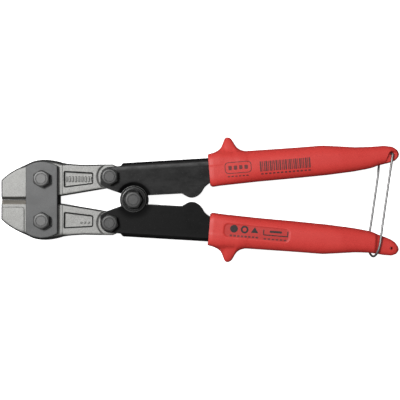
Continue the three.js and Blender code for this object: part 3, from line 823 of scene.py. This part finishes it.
def build_from_cad(name, node, rides, look, edge, edge_look):
    """The CAD node's own shape, its sharp edges rounded like pressed sheet's, in a look of their own."""
    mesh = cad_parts[node].data.copy()
    mesh.materials.clear()
    shape = bmesh.new()
    shape.from_mesh(mesh)
    bmesh.ops.remove_doubles(shape, verts=shape.verts, dist=0.004 * MM)
    bmesh.ops.dissolve_limit(shape, angle_limit=math.radians(0.8), verts=shape.verts, edges=shape.edges)
    sharp = [e for e in shape.edges if len(e.link_faces) == 2 and e.calc_face_angle(0) > math.radians(28)]
    rounded = bmesh.ops.bevel(
        shape, geom=sharp, offset=edge * MM, segments=2, profile=0.5, affect="EDGES", clamp_overlap=False
    )
    for face in shape.faces:
        face.material_index = 0
    for face in rounded["faces"]:
        face.material_index = 1
    shape.to_mesh(mesh)
    shape.free()
    piece = finish_piece(name, mesh, look, rides, [node], 30)
    mesh.materials.append(edge_look)
    # Large flat faces keep their own direction, and only the rounded edges turn from one to the next.
    even = piece.modifiers.new("even", "WEIGHTED_NORMAL")
    even.weight = 100
    even.keep_sharp = True
    bake(piece)


# ---- Grips ----


def in_grip(points):
    """Points along, across and through the grip, taken to the mid-plane's axes."""
    u, v, z = np.asarray(points, float).T
    x = GRIP_ORIGIN[0] + u * GRIP_COS - v * GRIP_SIN
    return columns(x, GRIP_ORIGIN[1] + u * GRIP_SIN + v * GRIP_COS, z)


def along_grip(x, y):
    """Distances along and across the grip of a point given from the grip's origin."""
    return x * GRIP_COS + y * GRIP_SIN, y * GRIP_COS - x * GRIP_SIN


def profile(table, u, soften=0.9):
    """The table's value at u, with its corners softened over this length, less near the grip's ends."""
    stations, values = np.array(table).T
    width = np.minimum(soften, np.minimum((u - GRIP_START) / 2, (GRIP_END - u) / 4))
    steps = np.linspace(-1, 1, 7)
    return np.mean([np.interp(u + width * step, stations, values) for step in steps], axis=0)


def tab_lift(u, bend):
    return np.where(u > TAB_START, bend * ((u - TAB_START) / 20) ** 2, 0)


def squareness(u):
    return 4.5 + (2.6 - 4.5) * smoothstep(u, 10, 34)


PANEL_U, PANEL_V = 35.2, -0.35  # its middle along and across the grip
PANEL_HALF_U, PANEL_HALF_V = 20.7, 4.4
PANEL_CORNER = 3.2
PANEL_DEPTH = 0.5
PANEL_SLANT = 0.018  # the panel leans this much from the grip's axis


def in_panel(u, v):
    """Depth inside the recessed panel's outline, positive inside."""
    across = v - PANEL_V - PANEL_SLANT * (u - PANEL_U)
    x = np.abs(u - PANEL_U) - PANEL_HALF_U + PANEL_CORNER
    y = np.abs(across) - PANEL_HALF_V + PANEL_CORNER
    outside = np.hypot(np.clip(x, 0, None), np.clip(y, 0, None))
    return PANEL_CORNER - outside - np.minimum(np.maximum(x, y), 0)


def panel_sink(u, v):
    return PANEL_DEPTH * smoothstep(in_panel(u, v), -0.1, 0.7)


def grip_rings(bend, panel):
    """Sections of the grip from mouth to end."""
    stations = np.concatenate([
        np.linspace(GRIP_START, 10, 10), np.arange(10.4, 60, 0.45), np.arange(60.5, 100, 1.0),
        np.arange(100.5, 121, 0.35), GRIP_END - 4.2 * (1 - np.linspace(0, 1, 26)) ** 1.6,
    ])
    u, angle = np.meshgrid(stations, turns(GRIP_SIDES, 0.5), indexing="ij")
    c, s = np.cos(angle), np.sin(angle)
    reach_v = np.where(s > 0, profile(GRIP_OUTER, u), profile(GRIP_INNER, u))
    reach_z = np.where(c > 0, profile(GRIP_FRONT, u), profile(GRIP_BACK, u, 0.5))
    radius = superellipse(c, s, reach_z, reach_v, squareness(u))
    # The thumb guard is a fin, thinner than the grip, that grows out of it through a fillet.
    blend = 9
    edge = profile(GRIP_OUTER, u)
    crest = edge + (profile(GRIP_GUARD, u, 0.8) - edge) * (1 - smoothstep(u, 27, 30))
    height = edge * np.maximum((crest / edge) ** blend - 1, 1e-7) ** (1 / blend)
    thick = 6.6 - 1.6 * smoothstep(height, 11, 19)
    fin = superellipse(c, np.clip(s, 0.02, 1), thick, height, 2.5)
    radius = (radius**blend + (fin * smoothstep(s, 0, 0.35)) ** blend) ** (1 / blend)
    v, z = radius * s, radius * c
    hole = CORD_HOLE_V + tab_lift(np.array(CORD_HOLE_U), bend)
    lifted = v + tab_lift(u, bend)
    # The relief beside the cord hole, on one side of a slanting line.
    start = np.array((CORD_HOLE_U - RELIEF_START, hole + 0.6))
    slant = np.array((5.0, 11.6)) / math.hypot(5.0, 11.6)
    beyond = (u - start[0]) * slant[1] - (lifted - start[1]) * slant[0]
    cut = smoothstep(np.minimum(beyond, start[1] - lifted), -0.3, 0.3)
    z = np.where(c > 0, z * (1 - cut) + np.minimum(z, RELIEF_Z) * cut, z)
    if panel:
        z = np.where(c < 0, z + panel_sink(u, v), z)
    return np.stack([u, lifted, z], axis=-1)


def socket_rings():
    """The socket for the lever's tail, from its blind end back to the mouth."""
    x = np.array((0.0, TAIL_END_X + 1))
    y = WEB_START[1] + (x - WEB_START[0]) * math.tan(WEB_SLOPE) - GRIP_ORIGIN[1]
    web_u, web_v = along_grip(x, y)
    angle = turns(GRIP_SIDES, 0.5)
    rings = []
    for u in (web_u[1] + 0.6, 60, 40, 20, 12, 9.2, 7.4, 6.2, GRIP_START):
        top = np.interp(u, web_u, web_v) + 0.3
        bottom = np.interp(u, (5.0, 9.2, web_u[1] + 0.6), (-8.9, -6.9, web_v[1] - 12.6))
        middle, half = (top + bottom) / 2, (top - bottom) / 2
        radius = superellipse(np.cos(angle), np.sin(angle), SOCKET_Z, half, 12)
        rings.append(columns(u, middle + radius * np.sin(angle), radius * np.cos(angle)))
    return rings


def cord_hole_cutter(bend, radius, front, back):
    """A round cutter for the cord hole, flared where it comes through each face."""
    hole = (CORD_HOLE_U, CORD_HOLE_V + float(tab_lift(np.array(CORD_HOLE_U), bend)))
    mouth = radius + CORD_HOLE_FLARE
    rows = [(2.4, -12), (mouth, -back - 0.05), (radius, -back + 0.5)]
    rows += [(radius, front - 0.5), (mouth, front + 0.05), (2.4, 12)]
    return lathe(hole, rows, turn=turns(48))


def build_grip(half, side, panel):
    bend, crease = TAB_BEND[half], 45
    rings = np.concatenate([socket_rings(), grip_rings(bend, panel)])
    points, faces = skinned(rings)
    name, node = f"{half}_grip_moulding", f"{half}_grip"
    piece = make_piece(name, in_grip(points), faces, PLASTIC, f"{half}_handle", [node], side, crease)
    cutter_points, cutter_faces = cord_hole_cutter(bend, CORD_HOLE_RADIUS[half], RELIEF_Z, 4.0)
    cutter = in_scene("cutter", new_mesh("cutter", in_frame(in_grip(cutter_points), side), cutter_faces))
    cut = piece.modifiers.new("cord_hole", "BOOLEAN")
    cut.object = cutter
    cut.operation = "DIFFERENCE"
    cut.solver = "EXACT"
    bake(piece)
    piece.data.set_sharp_from_angle(angle=math.radians(crease))
    bpy.data.objects.remove(cutter)
    if panel:
        shade_panel(piece, side)
    return piece


def shade_panel(piece, side):
    """The panel's floor is polished, so it looks deeper in colour than the textured grip."""
    piece.data.materials.append(PANEL_PLASTIC)
    for face in piece.data.polygons:
        x, y, z = (face.center / MM - Vector((SHIFT, 0, LIFT))) * Vector((1, side, side))
        depth = in_panel(*along_grip(x - GRIP_ORIGIN[0], y - GRIP_ORIGIN[1]))
        if z < -SOCKET_Z and depth > 0.3:
            face.material_index = 1


# ---- Marks on the grips ----


class Printer:
    """Lays films of ink on one face of a grip. Face 1 is the one with the short relief, and -1 the other."""

    def __init__(self, grip, face, side):
        self.tree = BVHTree.FromObject(grip, bpy.context.evaluated_depsgraph_get())
        self.face, self.side = face, side

    def surface(self, flat):
        """Height of the grip's surface under or over each point (along, across)."""
        clear = columns(*flat.T, 20.0 * self.face)
        toward = Vector((0, 0, -self.face * self.side))
        hits = [self.tree.ray_cast(Vector(p), toward)[0] for p in in_frame(in_grip(clear), self.side)]
        return np.array([(hit.z / MM - LIFT) * self.side for hit in hits])

    def film(self, *loops):
        free = field(loops[0].min(axis=0), loops[0].max(axis=0), 0.6)
        points, faces = slab(
            loops,
            free,
            lambda flat: self.surface(flat) + self.face * 0.05,
            lambda flat: self.surface(flat) - self.face * 0.1,
        )
        return in_grip(points), faces

    def box(self, *shape):
        return self.film(box_loop(*shape))

    def row(self, count, start, pitch, *shape):
        """Boxes at an even pitch along the grip."""
        return [self.box(start + pitch * k, *shape) for k in range(count)]


def box_loop(u, v, width, height, corner=0.12):
    a, b = width / 2, height / 2
    return rounded_polygon([(u - a, v - b), (u + a, v - b), (u + a, v + b), (u - a, v + b)], corner)


def build_upper_marks(grip):
    """Plain printed marks in place of the maker's: a framed row of squares, a row of bars, and dashes."""
    print_on = Printer(grip, 1, 1)
    frame_v, bars_v, dashes_v = 0.1, -0.5, -5.1
    parts = [print_on.film(box_loop(23.7, frame_v, 16.6, 7.2, 2.6), box_loop(23.7, frame_v, 15.7, 6.3, 2.2))]
    parts += [print_on.box(23.7 + 3.3 * k, frame_v, 2.1, 2.6, 0.3) for k in (-1.5, -0.5, 0.5, 1.5)]
    widths, gaps = (1.0, 0.5, 0.7, 1.0, 0.5), (0.45, 0.6, 0.38)
    u, k = 37.2, 0
    while u < 68.5:
        width = widths[k % len(widths)]
        parts.append(print_on.box(u + width / 2, bars_v, width, 6.4))
        u += width + gaps[k % len(gaps)]
        k += 1
    parts += print_on.row(13, 38.4, 2.45, dashes_v, 1.5, 0.9)
    parts += print_on.row(6, 17.6, 2.3, dashes_v - 0.1, 1.4, 0.7)
    make_piece("upper_grip_marks", *joined(parts), ("red_plastic", FADED_INK), "upper_handle")


def build_lower_marks(grip):
    """In the panel: a disc, a ring, a triangle, a dimension bracket and dashes. None spells anything."""
    print_on = Printer(grip, -1, -1)
    shapes_v, bracket_v = -1.8, 0.5
    triangle = rounded_polygon([(31.6, -0.2), (33.9, -3.8), (36.2, -0.2)], 0.4)
    parts = [
        print_on.film(circle((21.0, shapes_v), 2.4, 0.3)),
        print_on.film(circle((27.6, shapes_v), 2.4, 0.3), circle((27.6, shapes_v), 1.3, 0.3)),
        print_on.film(triangle),
        print_on.box(47.0, bracket_v, 15.4, 0.6),
        print_on.box(39.5, bracket_v - 1.6, 0.6, 3.3),
        print_on.box(54.5, bracket_v - 1.6, 0.6, 3.3),
        print_on.box(47.0, shapes_v, 7.6, 1.3, 0.4),
    ]
    make_piece("lower_grip_marks", *joined(parts), ("red_plastic", BLACK_INK), "lower_handle", side=-1)
    parts = print_on.row(8, 19.4, 2.3, 2.5, 1.5, 1.1) + print_on.row(6, 40.6, 2.5, 2.9, 1.6, 0.9)
    make_piece("lower_grip_dashes", *joined(parts), ("red_plastic", FADED_INK), "lower_handle", side=-1)


# ---- Fasteners ----

SIDES = 96
TURN = turns(SIDES)
FACE_INSET = 0.45  # a hexagon's round face is smaller than its flats by this all round


def hex_reach(flats, turn):
    """Radius of a hexagon at each of the SIDES directions, its corners just broken."""
    step = np.mod(TURN - turn - math.pi / 2, math.pi / 3) - math.pi / 6
    return np.minimum(flats / 2 / np.cos(step), flats / math.sqrt(3) * 0.985)


def lathe(centre, rows, closed=False, turn=TURN):
    """Rows of (radius, height), each a number or one value for each direction, as a skin about a pivot."""
    rings = []
    for radius, z in rows:
        x, y = centre[0] + radius * np.cos(turn), centre[1] + radius * np.sin(turn)
        rings.append(columns(x, y, z))
    return skinned(rings, closed)


def chamfered(reach, face, top, sign):
    """Rows from a round face out over the chamfer to the hexagon's own edge."""
    rows = []
    for share in (0.0, 0.25, 0.5, 0.75, 1.0):
        radius = face + (reach - face) * share
        rows.append((radius, top - sign * (0.05 + (radius - face) * math.tan(math.radians(25)))))
    return rows


def thread(start, end):
    """Rows of a rolled thread of 1 mm pitch, with a chamfer at its end."""
    pitch, depth, chamfer = 1.0, 0.28, 0.5
    rows = []
    for z in np.arange(start, end - 1e-6, -0.1):
        wave = 0.5 + 0.5 * np.cos(2 * np.pi * z / pitch + TURN)
        taper = max(0.0, chamfer - (z - end)) * 0.8
        rows.append((np.minimum(SHANK - depth * wave, SHANK - taper), z))
    rows.append((SHANK - chamfer * 0.8, end))
    return rows


def build_bolt(name, centre, flats, seat, height, end, turn, body, look=FASTENER):
    reach = hex_reach(flats, turn)
    top = seat + height
    face = flats / 2 - FACE_INSET
    ring = face * 0.72
    rows = [
        (0.4, top - 0.07), (ring - 0.3, top - 0.07), (ring - 0.12, top - 0.2), (ring + 0.12, top - 0.2),
        (ring + 0.3, top), (face - 0.2, top),
        *chamfered(reach, face, top, 1),
        (reach, seat + 0.3), (reach - 0.12, seat + 0.08), (reach - 0.3, seat),
        (SHANK + 0.2, seat), (SHANK, seat - 0.2), (SHANK, -seat + 1.5),
        *thread(-seat + 1.0, end),
        (0.5, end),
    ]
    make_piece(f"{name}_turned", *lathe(centre, rows), look, body, [name], crease=30)


def build_nut(name, centre, flats, seat, height, turn, body, look=FASTENER):
    reach = hex_reach(flats, turn)
    low = -seat - height
    face = flats / 2 - FACE_INSET
    rows = [
        (BORE + 0.02, -seat - 0.4), (BORE + 0.4, -seat), (reach - 0.25, -seat), (reach, -seat - 0.25),
        *reversed(chamfered(reach, face, low, -1)),
        (face - 0.2, low), (BORE + 0.5, low), (BORE + 0.02, low + 0.5),
    ]
    make_piece(f"{name}_turned", *lathe(centre, rows, closed=True), look, body, [name], crease=30)


def build_washer(name, low, high):
    """A washer with a flat face and a rounded rim."""
    outer, rim, sign = 7.9, 0.9, 1 if high > 0 else -1
    seat, crown = (low, high) if sign > 0 else (high, low)
    rows = [(BORE, seat), (BORE, crown - sign * 0.15), (BORE + 0.15, crown)]
    for degrees in range(0, 91, 15):
        angle = math.radians(degrees)
        rows.append((outer - rim * (1 - math.sin(angle)), crown - sign * rim * (1 - math.cos(angle))))
    rows.append((outer - 0.1, seat))
    shape = lathe(CENTRE_PIVOT, rows, closed=True)
    make_piece(f"{name}_turned", *shape, WASHER, "upper_handle", [name], crease=50)


def build_fasteners():
    jaw_seat, link_seat, jaw_flats, link_flats = 7.6, 5.6, 9.6, 9.7
    for half, side, turn in (("upper", 1, 0.0), ("lower", -1, 0.2)):
        jaw, link = JAW_PIVOT * (1, side), LINK_PIVOT * (1, side)
        build_bolt(f"{half}_jaw_bolt", jaw, jaw_flats, jaw_seat, 4.4, -LIFT, 0.0, "head", JAW_FASTENER)
        build_nut(f"{half}_jaw_nut", jaw, jaw_flats, jaw_seat, 4.6, 0.0, "head", JAW_FASTENER)
        build_bolt(f"{half}_link_bolt", link, link_flats, link_seat, 4.0, -LIFT + 2, turn, f"{half}_handle")
        build_nut(f"{half}_link_nut", link, link_flats, link_seat, 4.6, turn, f"{half}_handle")
    build_bolt("centre_bolt", CENTRE_PIVOT, 9.9, 7.3, 4.2, -LIFT, math.pi / 6, "upper_handle")
    build_nut("centre_nut", CENTRE_PIVOT, 9.9, 7.3, 5.0, 0.0, "upper_handle")
    build_washer("front_centre_washer", 5.6, 7.0)
    build_washer("rear_centre_washer", -7.0, -5.6)
    build_from_cad("centre_spacer_turned", "centre_spacer", "upper_handle", FASTENER, 0.15, FASTENER[1])


# ---- Wire bail ----

TUBE_SIDES = 20

def bail_route():
    """Points along the wire: both ends in the cord hole, a leg past each face, and the bend between."""
    hole = (CORD_HOLE_U, CORD_HOLE_V + float(tab_lift(np.array(CORD_HOLE_U), TAB_BEND["upper"])), 0)
    x, y, _ = in_grip([hole])[0]
    lean, front_x, back_x, bend_y, reach = 0.1445, 115.65, 111.1, -29.2, 6.4
    points = [(x, y, 0.4), (x, y, 4.4), (x, y - 0.5, 5.8)]
    points += [(front_x + lean * at, at, BAIL_FRONT) for at in (y - 2, 14, 0, -14, bend_y)]
    middle, spread = (BAIL_FRONT + BAIL_BACK) / 2, (BAIL_FRONT - BAIL_BACK) / 2
    for degrees in (30, 60, 90, 120, 150):
        angle = math.radians(degrees)
        across = front_x + (back_x - front_x) * degrees / 180 + lean * bend_y
        out, up = math.sin(angle), math.cos(angle)
        points.append((across - 0.4 * out, bend_y - reach * out, middle + spread * up))
    points += [(back_x + lean * at, at, BAIL_BACK) for at in (bend_y, -14, 0, 14, y - 3.4)]
    points += [(x - 2.6, y - 0.7, -6.5), (x, y, -4.6), (x, y, -0.4)]
    return np.array(points, float)


def through(points, step):
    """A smooth line through the points, centripetal Catmull-Rom, sampled about every step."""
    padded = np.vstack([2 * points[0] - points[1], points, 2 * points[-1] - points[-2]])
    line = []
    for p0, p1, p2, p3 in zip(padded, padded[1:], padded[2:], padded[3:]):
        d0, d1, d2 = (math.sqrt(norm(b - a)) for a, b in ((p0, p1), (p1, p2), (p2, p3)))
        m1 = ((p1 - p0) / d0 - (p2 - p0) / (d0 + d1) + (p2 - p1) / d1) * d1
        m2 = ((p2 - p1) / d1 - (p3 - p1) / (d1 + d2) + (p3 - p2) / d2) * d1
        for t in np.arange(0, 1, 1 / max(1, round(norm(p2 - p1) / step))):
            line.append(
                (2 * t**3 - 3 * t**2 + 1) * p1 + (t**3 - 2 * t**2 + t) * m1
                + (3 * t**2 - 2 * t**3) * p2 + (t**3 - t**2) * m2
            )
    line.append(points[-1])
    return np.array(line)


def tube(line, radius):
    """A round tube along a line, with its ends rounded off."""
    ahead = np.gradient(line, axis=0)
    ahead /= norm(ahead, axis=1)[:, None]
    travelled = np.concatenate([[0], np.cumsum(norm(np.diff(line, axis=0), axis=1))])
    to_end = np.minimum(travelled, travelled[-1] - travelled)
    swell = np.sqrt(np.clip(1 - (1 - np.clip(to_end / radius, 0.02, 1)) ** 2, 0, 1))
    angle = turns(TUBE_SIDES)
    side = np.cross(ahead[0], (0, 1, 0))
    rings = []
    for point, direction, share in zip(line, ahead, swell):
        side = side - direction * (side @ direction)
        side /= norm(side)
        other = np.cross(direction, side)
        ring = np.outer(np.cos(angle), side) + np.outer(np.sin(angle), other)
        rings.append(point + radius * share * ring)
    return skinned(rings)


def build_bail():
    line = through(bail_route(), 0.3)
    make_piece("wire_bail_drawn", *tube(line, WIRE_RADIUS), WIRE, "bail", ["wire_bail"], crease=60)


# ---- Studio ----

BACKDROP_SIDES = 64
LIGHTS = {  # name: (location in metres, size, power)
    "key": ((-0.46, 0.26, 1.16), 0.26, 11.5),
    "overhead": ((0.1, 0.0, 1.4), 1.2, 0.5),
}
AIM = Vector((0, 0, 0.01))
BRIGHT_SIDE = Vector((-0.65, 0.3, 0.7)).normalized()


def build_backdrop():
    """A pale floor that curves up into a wall far from the tool."""
    angle = turns(BACKDROP_SIDES)
    rows = [(r, 0.0) for r in (0.02, 0.2, 0.6, 1.4, 2.4)]
    rows += [(2.4 + math.sin(a), 1 - math.cos(a)) for a in np.linspace(0.15, math.pi / 2, 10)]
    rows += [(3.4, 2.0), (3.4, 4.0)]
    points = np.array([(r * math.cos(a), r * math.sin(a), z) for r, z in rows for a in angle])
    faces = [tuple(reversed(range(BACKDROP_SIDES))), *bands(len(rows), BACKDROP_SIDES)]
    mesh = new_mesh("backdrop", points, faces)
    mesh.shade_smooth()
    glow = {"Emission Strength": 0.93, "Emission Color": (1, 1, 1, 1)}
    m = Material("backdrop_paper", grey(0.86), 0.9, **glow)
    tooth = m.noise(1.2, 3, 0.6)
    mesh.materials.append(m.finish(Base_Color=m.mix(m.ramp(tooth, 0.3, 0.7), grey(0.85), grey(0.88))))
    backdrop = in_scene("backdrop", mesh)
    backdrop.visible_diffuse = False
    backdrop.visible_glossy = False
    backdrop.visible_shadow = False


def soft_light(name, location, size, power):
    data = bpy.data.lights.new(name, "AREA")
    data.shape = "RECTANGLE"
    data.size = data.size_y = size
    data.energy = power
    light = in_scene(name, data)
    light.location = location
    light.rotation_euler = (AIM - light.location).to_track_quat("-Z", "Y").to_euler()


def build_lights():
    """A key light from the jaws' upper side, a weak overhead fill, and a room brightest toward the key."""
    for name, settings in LIGHTS.items():
        soft_light(name, *settings)
    world = bpy.data.worlds.new("studio")
    world.use_nodes = True
    tree = world.node_tree
    place = tree.nodes.new("ShaderNodeTexCoord")
    toward = tree.nodes.new("ShaderNodeVectorMath")
    toward.operation = "DOT_PRODUCT"
    tree.links.new(place.outputs["Generated"], toward.inputs[0])
    toward.inputs[1].default_value = BRIGHT_SIDE
    ramp = tree.nodes.new("ShaderNodeMapRange")
    ramp.interpolation_type = "SMOOTHSTEP"
    tree.links.new(toward.outputs["Value"], ramp.inputs["Value"])
    for key, number in (("From Min", -0.5), ("From Max", 1.0), ("To Min", 0.04), ("To Max", 0.46)):
        ramp.inputs[key].default_value = number
    tree.links.new(ramp.outputs[0], tree.nodes["Background"].inputs["Strength"])
    tree.nodes["Background"].inputs["Color"].default_value = (1, 1, 1, 1)
    bpy.context.scene.world = world


VIEW_WIDTH = 251.3  # millimetres across the view at the jaws' mid-plane
VIEW_DISTANCE = 550.0
VIEW_Y = -0.15
SENSOR = 36.0


def build_camera():
    data = bpy.data.cameras.new("camera")
    data.sensor_width = SENSOR
    data.lens = SENSOR * VIEW_DISTANCE / VIEW_WIDTH
    camera = in_scene("camera", data)
    camera.location = (SHIFT * MM, VIEW_Y * MM, (LIFT + VIEW_DISTANCE) * MM)
    bpy.context.scene.camera = camera
    bpy.context.scene.view_settings.view_transform = "Standard"


# ---- Assembly ----

build_jaw("upper", 1, raised_ribs, no_marks)
build_jaw("lower", -1, no_marks, raised_dots)
build_head_plate("front_head_plate", PLATE_INNER, PLATE_OUTER, 2.2)
build_head_plate("rear_head_plate", -PLATE_OUTER, -PLATE_INNER, 8.4)
for half in ("upper", "lower"):
    name, node, body = f"{half}_lever_pressing", f"{half}_lever", f"{half}_handle"
    build_from_cad(name, node, body, LACQUER[half], LEVER_EDGE, WORN[half])
build_upper_marks(build_grip("upper", 1, False))
build_lower_marks(build_grip("lower", -1, True))
build_fasteners()
build_bail()
build_backdrop()
build_lights()
build_camera()
